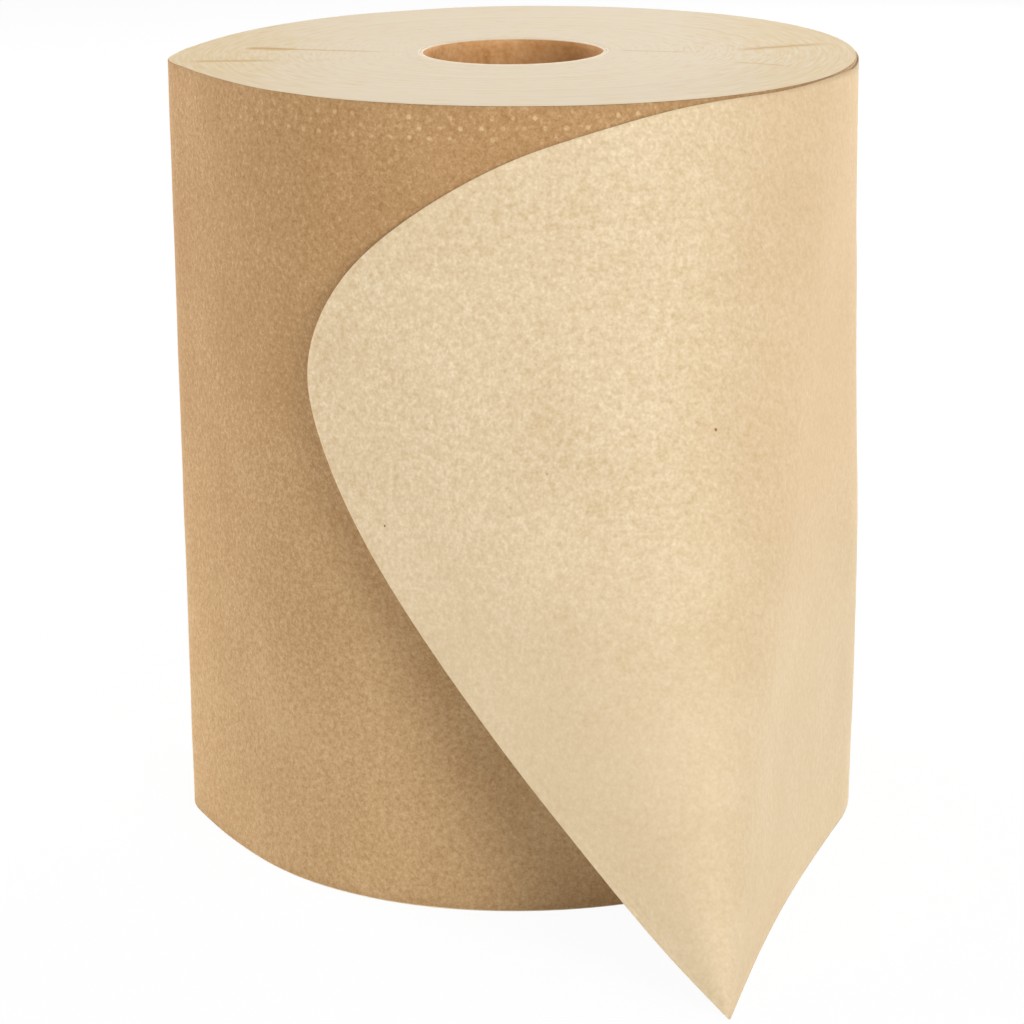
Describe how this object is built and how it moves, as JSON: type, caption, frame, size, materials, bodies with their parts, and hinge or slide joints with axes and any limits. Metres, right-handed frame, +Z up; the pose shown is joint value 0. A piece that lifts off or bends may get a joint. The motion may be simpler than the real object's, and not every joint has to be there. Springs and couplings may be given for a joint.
{
  "type": "paper towel roll",
  "caption": "Roll of brown paper hand towel on a board core, standing on its end with the free end of the last turn pulled forward to a point.",
  "frame": {"origin": "centre of the hole at the roll's lower end, which stands on the floor", "axes": "+Z up along the roll's axis, -Y towards the free end's point, +X towards the side where the last turn leaves the roll"},
  "size_m": [0.1791, 0.2445, 0.2032],
  "materials": {
    "kraft_tissue": "matt, embossed",
    "core_board": "matt, spiral wound"
  },
  "bodies": {
    "root": {"paper": "kraft_tissue", "core_tube": "core_board"}
  },
  "joints": []
}
